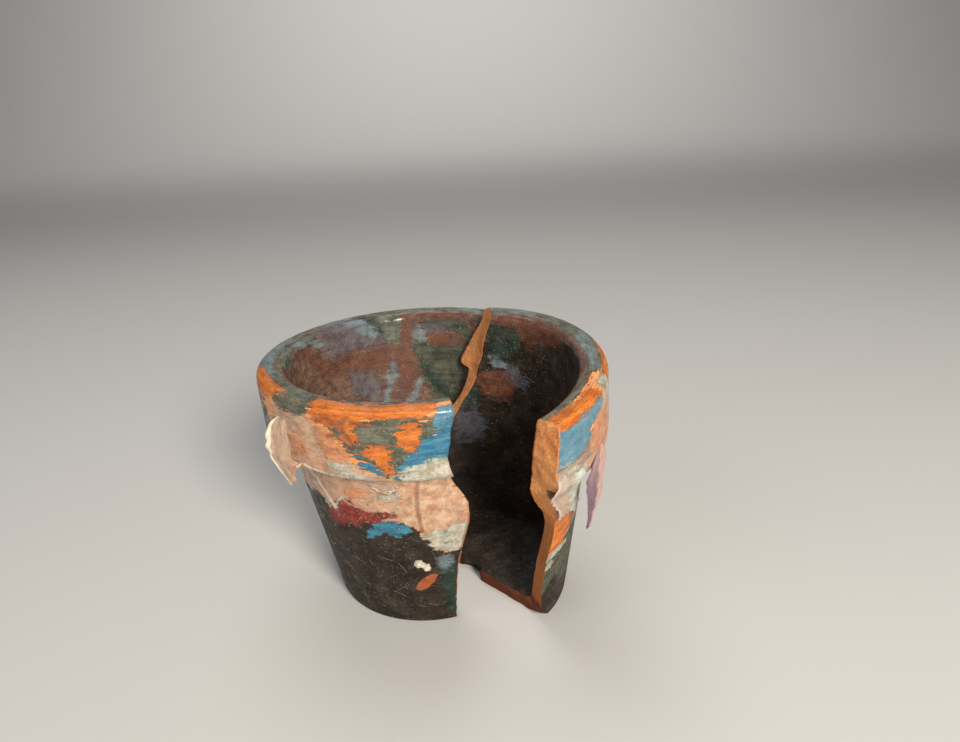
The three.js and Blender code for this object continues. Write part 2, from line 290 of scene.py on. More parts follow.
# Paint on the larger shard: (angle in degrees, height or radius in millimetres), read from the picture
MAIN_PAINT = {
    "chalk": [
        outside((208, 47), (212, 55), (219, 61.5), (226, 63), (236, 63), (241, 61), (247, 56),
                (251, 53.5), (256, 51), (262, 49.6), (268, 50.5), (273, 54.5), (279, 55), (300, 55),
                (300, 46), (208, 46)),
        outside((196, 49), (300, 49), (300, 17), (282, 17.5), (276, 20), (272, 24), (268, 28), (258, 31),
                (246, 31), (230, 29), (222, 33), (212, 31), (198, 36)),
        outside((60, 49), (70, 57), (84, 54), (97, 60), (112, 52), (128, 48), (120, 40), (96, 43),
                (70, 38)),
        outside((150, 49), (158, 58), (172, 55), (186, 47), (176, 41), (160, 43)),
    ],
    "brown": [bore((20, 69), (300, 69), (300, -30), (20, -30))],
    "slate": [
        bore((97, 57), (92, 56.3), (85, 56), (76, 56.5), (62, 55), (62, 36), (76, 33), (86, 40),
             (91.5, 46), (94, 51)),
        bore((91, 62.5), (80, 64), (66, 63), (64, 57), (72, 59.5), (84, 61.5), (89, 59)),
        outside((181, 51), (187, 60), (200, 63), (211, 60), (215, 54), (207, 49), (190, 48)),
    ],
    "dark": [
        outside((30, 33), (70, 37), (100, 34), (130, 38), (160, 35), (185, 39), (205, 37), (214, 36),
                (221, 38), (226, 35), (230, 31.5), (237, 32), (245, 32.5), (251, 33), (258, 34),
                (265, 33.5), (270, 31), (272, 29), (275, 27), (277, 25), (282, 23.4), (300, 23),
                (300, -40), (30, -40)),
    ],
    "dusty": [
        outside((210, 29), (224, 28), (236, 25), (241, 19), (236, 11), (222, 7), (208, 14)),
        outside((244, 20), (254, 17), (262, 9), (274, 9), (284, 3), (266, 1), (246, 6)),
        outside((120, 26), (140, 30), (160, 22), (150, 8), (126, 12)),
    ],
    "red": [
        outside((223, 30), (227, 33.5), (231, 36.6), (236, 38.2), (242, 38), (248, 36.4), (254, 36),
                (260, 36.4), (263, 35), (256, 33.8), (250, 32.6), (243, 31.4), (236, 30.6), (229, 29.4)),
        outside((186, 63), (200, 61.5), (212, 63), (206, 59), (192, 59)),
    ],
    "rust": [
        outside((240, 61), (244, 61.5), (248, 58), (252, 55), (250, 52.6), (244, 52.8), (240, 55)),
        outside((224.5, 57), (229, 58), (233, 55.5), (235, 52), (230, 50.5), (226, 52.5)),
        outside((239, 41.5), (246, 43), (252, 42.3), (250, 40.5), (243, 39)),
    ],
    "umber": [
        bore((92, 65.5), (84, 67), (66, 67), (70, 64), (80, 63.2), (90, 63.4)),
        bore((166, 63.5), (163, 64.5), (155, 60.5), (150, 57.5), (145, 56.3), (140, 57), (134, 56.5),
             (128, 56.2), (118, 57.4), (110, 57.8), (107, 56), (109, 53), (112, 51), (116, 50.4),
             (122, 51.3), (128, 52), (134, 53.5), (140, 53), (145, 52), (150, 54), (157, 58)),
        bore((87, 60.6), (78, 60.8), (73, 58), (77, 55.6), (86, 56.4), (89, 58)),
        bore((101, 67), (105, 60), (107, 52), (106, 46), (104.5, 42), (103, 36), (99.5, 38), (97.5, 45),
             (97, 52), (98, 59), (96, 67)),
    ],
    "sage": [
        outside((244.5, 61), (247, 59.5), (251, 55), (255, 53.8), (258, 52), (262, 49.8), (267, 50.6),
                (272, 54), (277, 58), (283, 61), (284, 64), (268, 64.2), (258, 64.4), (253, 63),
                (250, 61), (247, 62)),
        outside((214, 66), (222, 62.5), (230, 61.6), (238, 63), (241, 66)),
        outside((60, 67), (62, 60), (85, 58), (100, 62), (120, 57), (140, 61), (165, 58), (180, 62),
                (185, 67)),
        rim((40, 42), (40, 34.6), (140, 34.4), (246, 34.8), (244, 40), (222, 38.8), (190, 42)),
        bore((192, 67), (190, 61), (176, 63), (168, 65), (150, 64), (148, 67)),
        bore((118, 67), (113.5, 62), (110, 57.5), (104, 57.3), (102, 61), (100.5, 67)),
        rim((243, 36.6), (243, 34.4), (300, 34.4), (300, 36.2)),
    ],
    "green": [
        bore((124, 67), (119.5, 63), (114, 59.6), (111, 60.6), (113, 64), (116, 67)),
        bore((92.5, 49), (88, 45), (83, 42), (78, 40), (70, 39.6), (76, 42.2), (85, 46), (90, 50.5)),
        outside((279, 17), (284, 19), (300, 20), (300, 3), (284, 2), (280.6, 8)),
        rim((124, 42), (124, 33), (117, 33), (117, 42)),
    ],
    "lavender": [
        bore((150, 67), (147.5, 62), (146.5, 58), (142, 56.8), (138, 57.3), (130, 57.6), (122, 57),
             (115, 57.4), (111.5, 58.5), (114, 61.5), (118, 62.7), (122, 65), (128, 67)),
        bore((134, 52), (128, 51), (121, 49.5), (117, 45), (122, 42), (130, 43.5), (136, 46)),
        bore((94, 62), (84, 62.4), (76, 61), (80, 59.4), (90, 60)),
    ],
    "steel": [outside((276, 61.4), (280, 60.8), (284, 62), (300, 62), (300, 67), (281, 67), (279, 63.6))],
    "teal": [
        outside((270.5, 55.2), (273, 57.6), (276, 60), (280, 60.6), (283, 63), (300, 63), (300, 53.4),
                (283, 53.6), (277, 53.4), (272, 52), (269, 48.5), (265.5, 48.8), (267.5, 53)),
        outside((252.5, 54.8), (256, 54.3), (260, 52), (262, 50.3), (258, 50.3), (254, 52.4)),
        outside((245, 27), (247, 30), (251, 32), (255, 33.4), (261, 33.8), (266, 33), (266.5, 30.5),
                (263, 29.2), (259, 29.8), (255, 30.4), (250, 29)),
        outside((70, 66), (76, 58), (90, 60), (94, 66)),
        outside((130, 62), (138, 55), (150, 58), (148, 66)),
    ],
    "sky": [
        bore((108.5, 52.7), (106, 50), (105.4, 47.5), (108, 47), (111, 44.4), (114, 40), (118.3, 39.8),
             (115, 44), (112, 48.3), (110, 50.5)),
        bore((93, 46.7), (91.3, 44.5), (94, 43), (97, 40.3), (101, 37.8), (104.5, 38), (100, 41),
             (96.5, 44.6)),
        bore((95, 60.8), (92, 61.2), (89.5, 59), (89, 57.5), (92, 56.8), (94.8, 58)),
        bore((137, 67), (130, 65.2), (124, 62), (116, 60), (114, 60.6), (118, 63.2), (122, 67)),
        bore((166, 66.4), (155, 65.2), (147, 62.7), (149, 61.6), (158, 63.6), (168, 65)),
        rim((75, 41), (75, 35), (62, 35), (62, 41)),
        rim((206, 39), (206, 36.2), (186, 35.6), (160, 36), (158, 38.6), (184, 39.6)),
        rim((140, 39), (138, 36), (126, 36), (124, 39)),
        outside((276.6, 22), (280, 23.4), (285, 22), (284.6, 18), (279, 17)),
    ],
    "mint": [
        outside((272.5, 29.5), (277, 31), (283, 31.5), (300, 32), (300, 23), (284, 22.5), (280, 23.6),
                (277, 25.4), (274.5, 28)),
        outside((268, 50.6), (273, 52.2), (278, 53.4), (300, 53.6), (300, 47.5), (265, 47.8)),
        outside((220, 41.6), (224, 41), (227, 38), (230, 34.6), (231.6, 35), (228.5, 39.5), (223, 43)),
        outside((252, 43.6), (256, 40.5), (260, 39.4), (263, 42), (260, 44.4), (255, 44.4)),
        outside((242, 51.6), (250, 51.8), (256, 49.8), (262, 48.4), (250, 48.6), (243, 49.6)),
    ],
    "bare": [
        outside((237, 69.5), (238.6, 62.6), (246, 61), (249.6, 60), (250.6, 57.2), (252, 56.4),
                (254, 57.4), (255, 60.4), (257, 62.6), (262, 64), (268, 64), (274, 63.6), (279, 64.6),
                (281, 69), (262, 69.8)),
        outside((266, 59.6), (269, 62), (272, 63.6), (275.4, 60.6), (273.6, 57), (272, 55.3), (270, 56.6),
                (267.5, 58)),
        outside((255.2, 55.4), (258, 57.3), (262.4, 57.2), (265.6, 55.4), (264.4, 52.8), (265, 50.8),
                (263, 50.2), (261, 52.4), (258.4, 53.6)),
        outside((189, 66), (197, 62.8), (207, 62.2), (218, 63.6), (222, 68), (208, 69), (194, 68)),
        outside((100, 20), (108, 27), (120, 24), (117, 17), (106, 15)),
        outside((284.5, 45.5), (288.5, 43.2), (290.6, 39), (293, 36.5), (300, 37), (300, 46)),
    ],
}

# Small crisp marks on the larger shard
MAIN_PAINT["chip"] = [
    outside((265, 11.8), (267, 14), (270, 15.7), (274, 16.8), (277.8, 16.8), (275.6, 14.4), (272, 12.4),
            (268, 11.4)),
]
MAIN_PAINT["fold"] = [
    outside((218.6, 43.6), (222.6, 41.8), (226.6, 38.4), (229.6, 34.6), (231.6, 33.6), (232, 35.2),
            (229, 39.6), (225, 42.4), (220, 44.8)),
    outside((251.6, 44.6), (255, 42.6), (258.6, 41.8), (262.6, 42.6), (265.6, 45), (262, 43.8),
            (258, 42.8), (254.6, 43.8)),
    outside((231, 35), (235, 37.2), (238.6, 38.8), (238, 39.6), (234, 37.8)),
    outside((224, 49.6), (232, 49.2), (240, 48.6), (250, 48.4), (250, 49), (240, 49.4), (232, 50.2)),
]
MAIN_PAINT["line"] = [
    outside((271.4, 47), (270.2, 43), (269.6, 38), (270.2, 33), (271, 30), (272.4, 30), (271.8, 33),
            (271.3, 38), (271.9, 43), (273, 47)),
    outside((279.6, 27.2), (282, 26.4), (284.6, 26.8), (282, 25.8)),
    outside((233, 33.4), (238, 31.4), (244, 31.8), (238, 30.6)),
    outside((240, 61.6), (244, 62.4), (249, 60.4), (252, 57), (253.4, 57.4), (250.4, 61.4), (245, 63.6),
            (240, 62.8)),
    outside((244, 58), (248, 59.6), (251, 62.6), (253, 63.6), (252, 64.4), (249, 62.8), (246.4, 60.2),
            (243.4, 59)),
    outside((253, 62.4), (258, 61.4), (262, 62), (262, 63), (258, 62.5), (253.4, 63.4)),
]

# Paint on the smaller shard, with painted shade in part of its dark bore, in angles counted from where it
# faces now
SIDE_PAINT = {
    "chalk": [
        outside((-60, 49), (-60, 16), (-46, 15), (-32, 17), (-20, 21), (0, 25), (20, 22), (40, 28),
                (60, 25), (75, 33), (75, 49)),
        outside((-60, 47), (-60, 54), (-46, 56), (-36, 58), (-26, 61), (-22, 67), (-4, 67), (4, 58),
                (20, 55), (30, 47)),
    ],
    "brown": [bore((-70, 69), (150, 69), (150, -30), (-70, -30))],
    "slate": [
        outside((-60, 22), (-36, 25), (-20, 28), (0, 31), (24, 28), (24, 12), (0, 6), (-30, 3), (-60, 5)),
    ],
    "dark": [
        outside((-80, 9), (-50, 11), (-40, 15), (-30, 9), (-20, 12), (0, 14), (20, 26), (40, 32),
                (60, 29), (110, 36), (140, 36), (140, -40), (-80, -40)),
        # Near black over the bore below its rim band: partly dark paint and partly painted shade for the
        # shard's dim inside
        bore((-80, 64.5), (0, 65), (30, 63.5), (44, 61), (80, 57), (150, 57), (150, -40), (-80, -40)),
    ],
    "dusty": [
        outside((30, 24), (50, 27), (66, 18), (54, 6), (34, 10)),
    ],
    "red": [],
    "rust": [
        outside((-35, 57.6), (-33, 60), (-25, 60.4), (-15, 58), (-11, 55), (-18, 51.4), (-28, 50.6),
                (-34, 53)),
    ],
    "umber": [
        bore((70, 66), (20, 66), (22, 62), (34, 60), (44, 58), (52, 61), (60, 63), (68, 63)),
        bore((75, 49.5), (64, 50.5), (54, 50), (52, 46), (57, 42.5), (65, 41.5), (72, 43), (75.5, 46)),
    ],
    "sage": [
        rim((75, 42), (75, 35), (-15, 35), (-15, 38), (10, 41)),
        rim((-15, 36), (-15, 34.6), (-60, 34.6), (-60, 36)),
        outside((10, 67), (14, 60), (30, 57), (46, 62), (60, 58), (72, 67)),
    ],
    "green": [
        bore((69, 63), (60, 62.5), (52, 62), (50, 57), (56, 54), (66, 54), (70, 59)),
        bore((86, 40), (80, 45.5), (75, 44), (74, 41), (80, 38.5)),
    ],
    "lavender": [
        outside((-43, 58), (-37, 58.6), (-34.5, 56), (-35.5, 53), (-40, 52.6), (-44, 55)),
        outside((-35, 47), (-22, 48), (-10, 46), (2, 44.6), (7, 41), (-2, 39.6), (-12, 41), (-20, 42.4),
                (-30, 45)),
        bore((92, 39), (78, 39.5), (72, 34), (76, 29), (92, 30)),
        bore((62, 53), (52, 52), (44, 48), (48, 46), (60, 49)),
    ],
    "steel": [
        outside((-60, 67), (-38, 67), (-27, 65.6), (-24, 62.4), (-28, 61), (-34, 59.6), (-36, 56.6),
                (-40, 55.4), (-46, 54.4), (-60, 54.4)),
    ],
    "teal": [
        outside((20, 56), (28, 61), (40, 58), (34, 52)),
    ],
    "sky": [
        bore((67.5, 54), (63, 54.6), (58, 53), (59, 51), (66, 50.5)),
        rim((72, 39), (70, 36.4), (50, 36), (48, 38.6)),
        rim((20, 38), (16, 35.6), (-8, 35.6), (-10, 37.6)),
    ],
    "mint": [
        outside((-38, 36), (-34, 36.6), (-27, 36.8), (-23, 33.5), (-20, 30), (-27, 32.2), (-34, 34.8)),
        outside((-60, 54), (-47, 54.6), (-41, 52.6), (-39, 50), (-43, 47.8), (-60, 47.8)),
        outside((-24, 67), (-19, 61), (-8, 56), (-4, 62), (-10, 67)),
        outside((-47.5, 25.2), (-42, 25), (-36, 24.6), (-32, 23), (-37, 22), (-43, 22.6), (-44, 19.6),
                (-48, 19)),
    ],
    "bare": [
        outside((-56, 36), (-46, 35.4), (-38, 34.6), (-32, 33.4), (-26, 31.4), (-29, 27.6), (-36, 25.4),
                (-44, 24.6), (-56, 25)),
        rim((-60, 42), (-60, 36.2), (-40, 36), (-26, 37), (-25, 41.2), (-40, 41.2)),
        rim((-15, 42), (-15, 39.2), (2, 38.6), (12, 39.2), (12, 42)),
    ],
}
SIDE_PAINT["chip"] = [outside((4, 12), (8, 15), (14, 14), (10, 11))]
SIDE_PAINT["fold"] = [
    outside((-37, 37), (-32, 36.8), (-27, 37.2), (-23, 34.4), (-24, 33.6), (-28, 36), (-33, 35.8)),
]
SIDE_PAINT["line"] = [outside((-45, 20.6), (-40, 19.2), (-34, 18.6), (-40, 18))]

PAINTS = list(MAIN_PAINT)


def crumbled(section, seed):
    """How far a break has crumbled back at each point of the section, in millimetres."""
    broad = CRUMBLE_BROAD * noise_field(section, BROAD_LUMP, seed)
    small = CRUMBLE_SMALL * noise_field(section, SMALL_LUMP, seed + 4)
    return np.maximum(0, CRUMBLE_EVEN + broad + small)


def moved_to_drain(radius, angle):
    """The radii, with the floor's stretched to end at the drain hole's own edge."""
    hole = drain_edge(angle)
    share = (radius - DRAIN_RADIUS) / (FLOOR_EDGE_RADIUS - DRAIN_RADIUS)
    return np.where(radius < FLOOR_EDGE_RADIUS, hole + (FLOOR_EDGE_RADIUS - hole) * share, radius)


def profile_place(radius, height, is_bore):
    """How far along the profile line each point lies, in millimetres."""
    on_collar = height > COLLAR_BOTTOM + COLLAR_FOOT
    line_out = height + np.where(on_collar, collar_radius(height) - radius, 0)
    underneath = (height < UNDERSIDE) & (radius < BASE_RADIUS)
    line_out = np.where(underneath, radius - BASE_RADIUS, line_out)
    slope = BORE_RADIUS - bore_radius(height)
    line_in = RIM_START + RIM_RADIUS - radius - slope + POT_HEIGHT - height
    return np.where(is_bore, line_in, line_out)


def finish_shard(name, bm, first_break, last_break, raw_share, paint, turn, matrix):
    """Bends the drawn-out section between its breaks, gives it its paint marks and stands it in its place."""
    layers = [bm.verts.layers.float[label] for label in ("along", "across", "sweep")]
    along, across, sweep = np.array([[vert[layer] for layer in layers] for vert in bm.verts]).T
    cell = (np.rint(along * ALONG_STEPS).astype(int), np.rint(across * ACROSS_STEPS).astype(int))
    section = wall_section()
    radius, height = section[cell].T
    arm = np.maximum(radius, CRUMBLE_LEAST_RADIUS)
    start = first_break(radius, height) + np.degrees(crumbled(section, 1)[cell] / arm)
    end = last_break(radius, height) - np.degrees(crumbled(section, 2)[cell] / arm)
    angle = start + (end - start) * sweep
    radius = moved_to_drain(radius, angle)

    turned = np.radians(angle)
    spread = np.stack([radius * np.cos(turned), radius * np.sin(turned), height], axis=-1) * MM * FACET_EASE
    for vert, spot in zip(bm.verts, spread):
        vert.co = matrix @ Vector(spot)
    mesh = bpy.data.meshes.new(name)
    bm.to_mesh(mesh)
    bm.free()
    mesh.shade_smooth()

    at_start = sweep < SWEEP_END
    at_end = (sweep > 1 - SWEEP_END) & (across < raw_share)
    line = profile_place(radius, height, across < 0.5)
    marks = np.stack([(angle + turn) * MM_PER_DEGREE, line], axis=-1)
    values = {"break_face": (at_start | at_end).astype(float)}
    for layer in PAINTS:
        values["paint_" + layer] = signed_distance(marks, paint[layer])
    for label, numbers in values.items():
        mesh.attributes.new(label, "FLOAT", "POINT").data.foreach_set("value", numbers)
    spread_out = np.concatenate([marks, np.zeros((len(marks), 1))], axis=1)
    mesh.attributes.new("wall_place", "FLOAT_VECTOR", "POINT").data.foreach_set("vector", spread_out.ravel())
    shard = bpy.data.objects.new(name, mesh)
    bpy.context.scene.collection.objects.link(shard)
    return shard


def cut_off(bm, point, normal):
    """Cuts away what lies behind a plane and closes the cut."""
    bmesh.ops.bisect_plane(
        bm, geom=bm.verts[:] + bm.edges[:] + bm.faces[:], plane_co=point, plane_no=normal,
        clear_inner=True, dist=1e-7,
    )
    rim_edges = [edge for edge in bm.edges if edge.is_boundary]
    if rim_edges:
        bmesh.ops.holes_fill(bm, edges=rim_edges, sides=0)


def wear_base(shard):
    """Cuts the leaning shard off flat where it stands, and chips its front corner."""
    bm = bmesh.new()
    bm.from_mesh(shard.data)
    cut_off(bm, (0, 0, 0), (0, 0, 1))
    into = Vector(CHIP_FACING).normalized()
    corner = min(bm.verts, key=lambda vert: vert.co.dot(into)).co
    cut_off(bm, corner + into * CHIP_DEPTH * MM, into)
    bmesh.ops.recalc_face_normals(bm, faces=bm.faces[:])
    bm.to_mesh(shard.data)
    bm.free()


main_shard = finish_shard(
    "larger_shard", swept_shard(MAIN_STEPS),
    lambda r, z: break_angle(REAR_BREAK, r, z) + SPLINTER_LOSS,
    lambda r, z: break_angle(FRONT_BREAK, r, z) + 360,
    MAIN_RAW_SHARE, MAIN_PAINT, 0, MAIN_PLACE,
)
side_shard = finish_shard(
    "smaller_shard", swept_shard(SIDE_STEPS),
    lambda r, z: break_angle(FRONT_BREAK, r, z),
    lambda r, z: break_angle(REAR_BREAK, r, z),
    SIDE_RAW_SHARE, SIDE_PAINT, SHARD_TURN, SIDE_PLACE,
)
wear_base(side_shard)


# Finishes
def colour(red, green, blue):
    """A colour named by its 0 to 255 screen values, as a shader wants it."""
    shares = [value / 255 for value in (red, green, blue)]
    return tuple(s / 12.92 if s <= 0.04045 else ((s + 0.055) / 1.055) ** 2.4 for s in shares) + (1.0,)


def add(tree, kind, settings=None, inputs=None):
    """A node with its settings made and its inputs set or linked."""
    made = tree.nodes.new(kind)
    for key, value in (settings or {}).items():
        setattr(made, key, value)
    for key, value in (inputs or {}).items():
        if isinstance(value, bpy.types.NodeSocket):
            tree.links.new(value, made.inputs[key])
        else:
            made.inputs[key].default_value = value
    return made


def math_node(tree, operation, *values):
    return add(tree, "ShaderNodeMath", {"operation": operation}, dict(enumerate(values))).outputs[0]


def blend(tree, share, low, high):
    """Mixes two colours."""
    inputs = {0: share, 6: low, 7: high}
    return add(tree, "ShaderNodeMix", {"data_type": "RGBA"}, inputs).outputs[2]


def darken(tree, share, shade, by):
    """Multiplies a colour by another, as far as the share says."""
    settings = {"data_type": "RGBA", "blend_type": "MULTIPLY"}
    return add(tree, "ShaderNodeMix", settings, {0: share, 6: shade, 7: by}).outputs[2]


def step(tree, value, low, high):
    """Nought below low, one above high, smooth between."""
    inputs = {"Value": value, "From Min": low, "From Max": high}
    return add(tree, "ShaderNodeMapRange", {"interpolation_type": "SMOOTHSTEP"}, inputs).outputs[0]


def scaled(tree, vector, size):
    inputs = {"Vector": vector, "Scale": size}
    return add(tree, "ShaderNodeMapping", {"vector_type": "POINT"}, inputs).outputs[0]


def place_in_mm(tree):
    """The place on the piece, in millimetres."""
    solid = add(tree, "ShaderNodeTexCoord").outputs["Object"]
    return scaled(tree, solid, (1 / MM, 1 / MM, 1 / MM))


def mix_value(tree, share, low, high):
    """Mixes two values."""
    return add(tree, "ShaderNodeMix", None, {0: share, 2: low, 3: high}).outputs[0]


def new_finish(name):
    """A new material, with its node tree and its shader."""
    finish = bpy.data.materials.new(name)
    finish.use_nodes = True
    return finish, finish.node_tree, finish.node_tree.nodes["Principled BSDF"]


def add_relief(tree, shader, height, strength, depth):
    """Raises and sinks the surface by a height, as deep as given in metres."""
    bump = add(tree, "ShaderNodeBump", None, {"Strength": strength, "Distance": depth, "Height": height})
    tree.links.new(bump.outputs[0], shader.inputs["Normal"])


def cloud(tree, vector, scale, detail=4.0, roughness=0.55, seed=0.0):
    inputs = {"Vector": vector, "Scale": scale, "Detail": detail, "Roughness": roughness, "W": seed}
    return add(tree, "ShaderNodeTexNoise", {"noise_dimensions": "4D"}, inputs).outputs[0]


def new_group(name, inputs, outputs):
    """A node group with the named sockets; gives the tree, its input node and its output node."""
    tree = bpy.data.node_groups.new(name, "ShaderNodeTree")
    for label, kind in inputs:
        tree.interface.new_socket(label, in_out="INPUT", socket_type="NodeSocket" + kind)
    for label, kind in outputs:
        tree.interface.new_socket(label, in_out="OUTPUT", socket_type="NodeSocket" + kind)
    return tree, tree.nodes.new("NodeGroupInput"), tree.nodes.new("NodeGroupOutput")


def use_group(tree, group, inputs):
    return add(tree, "ShaderNodeGroup", {"node_tree": group}, inputs).outputs


def make_clay_grain():
    """Fired clay: orange with paler and darker grains."""
    tree, given, result = new_group(
        "clay_grain", [("Place", "Vector")], [("Color", "Color"), ("Height", "Float")],
    )
    place = given.outputs["Place"]
    broad = cloud(tree, place, 0.16, 3, 0.6)
    fine = cloud(tree, place, 2.2, 4, 0.7, 3)
    grit = cloud(tree, place, 5.0, 2, 0.6, 9)
    body = blend(tree, step(tree, broad, 0.35, 0.65), colour(228, 138, 72), colour(240, 162, 94))
    body = blend(tree, step(tree, fine, 0.50, 0.66), body, colour(248, 190, 132))
    body = blend(tree, step(tree, fine, 0.43, 0.28), body, colour(184, 104, 54))
    body = blend(tree, step(tree, grit, 0.62, 0.68), body, colour(244, 210, 170))
    body = blend(tree, step(tree, grit, 0.36, 0.30), body, colour(110, 60, 38))
    tree.links.new(body, result.inputs["Color"])
    rough = math_node(tree, "MULTIPLY_ADD", grit, 0.5, fine)
    tree.links.new(rough, result.inputs["Height"])
    return tree


def make_paint_coat():
    """One coat of old paint over what is under it, ragged at the edge, streaked and chipped."""
    values = (
        "Distance", "Edge", "Grain", "Pits", "Strokes", "Blotch", "Mix", "Under Height",
        "Ragged", "Crumbled", "Brushed", "Soft", "Cover", "Thickness", "Worn", "Mottle",
    )
    colours = ("Under Color", "Paint", "Streak")
    tree, given, result = new_group(
        "paint_coat",
        [(label, "Float") for label in values] + [(label, "Color") for label in colours],
        [("Color", "Color"), ("Height", "Float")],
    )
    get = given.outputs
    reach = get["Distance"]
    for field, amount in (("Edge", "Ragged"), ("Grain", "Crumbled"), ("Strokes", "Brushed")):
        swing = math_node(tree, "SUBTRACT", get[field], 0.5)
        reach = math_node(tree, "MULTIPLY_ADD", swing, get[amount], reach)
    cover = step(tree, reach, math_node(tree, "MULTIPLY", get["Soft"], -1.0), get["Soft"])
    limit = math_node(tree, "MULTIPLY_ADD", get["Worn"], -0.3, 0.74)
    gone = step(tree, math_node(tree, "SUBTRACT", get["Pits"], limit), 0.0, 0.04)
    cover = math_node(tree, "MULTIPLY", cover, math_node(tree, "SUBTRACT", get["Cover"], gone))
    cover = math_node(tree, "MAXIMUM", cover, 0.0)
    paint = blend(tree, step(tree, get["Blotch"], 0.36, 0.64), get["Paint"], get["Streak"])
    shade = math_node(tree, "MULTIPLY", step(tree, get["Pits"], 0.56, 0.30), get["Mottle"])
    paint = darken(tree, shade, paint, (0.42, 0.38, 0.36, 1))
    shade = math_node(tree, "MULTIPLY", step(tree, get["Mix"], 0.58, 0.36), get["Mottle"])
    paint = darken(tree, shade, paint, (0.50, 0.46, 0.44, 1))
    tree.links.new(blend(tree, cover, get["Under Color"], paint), result.inputs["Color"])
    laid = math_node(tree, "MULTIPLY_ADD", get["Strokes"], 0.3, get["Thickness"])
    lift = math_node(tree, "MULTIPLY_ADD", get["Under Height"], 0.55, laid)
    tree.links.new(mix_value(tree, cover, get["Under Height"], lift), result.inputs["Height"])
    return tree


def make_dust_and_glints():
    """Pale dust in a thin uneven film, and light specks that are partly dust and partly painted glints."""
    tree, given, result = new_group(
        "pale_dust_with_glints", [("Place", "Vector")], [("Specks And Glints", "Float"), ("Film", "Float")],
    )
    place = given.outputs["Place"]
    speck_and_glint_noise = cloud(tree, place, 2.2, 2, 0.75, 21)
    # Light specks: partly dust, partly painted glints of light
    tree.links.new(step(tree, speck_and_glint_noise, 0.672, 0.705), result.inputs["Specks And Glints"])
    film = cloud(tree, place, 0.25, 5, 0.72, 33)
    tree.links.new(step(tree, film, 0.44, 0.66), result.inputs["Film"])
    return tree


def make_powdery_grain():
    """A dry powdery surface: two near shades in small clouds, with fine grains standing up."""
    tree, given, result = new_group(
        "powdery_grain",
        [("Place", "Vector"), ("Light Color", "Color"), ("Dark Color", "Color")],
        [("Color", "Color"), ("Height", "Float")],
    )
    place = given.outputs["Place"]
    patches = cloud(tree, place, 0.9, 4, 0.6, 41)
    grains = cloud(tree, place, 6.0, 3, 0.7, 44)
    shade = math_node(tree, "MULTIPLY_ADD", math_node(tree, "ADD", patches, grains), 0.5, 0.0)
    lit = step(tree, shade, 0.38, 0.6)
    body = blend(tree, lit, given.outputs["Dark Color"], given.outputs["Light Color"])
    tree.links.new(body, result.inputs["Color"])
    tree.links.new(grains, result.inputs["Height"])
    return tree


CLAY_GRAIN = make_clay_grain()
PAINT_COAT = make_paint_coat()
DUST_AND_GLINTS = make_dust_and_glints()
POWDERY_GRAIN = make_powdery_grain()

# How a coat lies unless it says otherwise; ragged, crumbled, brushed and soft edges are in millimetres
USUAL_COAT = {
    "Ragged": 3.5, "Crumbled": 2.0, "Brushed": 5.0, "Soft": 0.2,
    "Cover": 1.0, "Thickness": 0.4, "Worn": 0.35, "Mottle": 0.6,
}

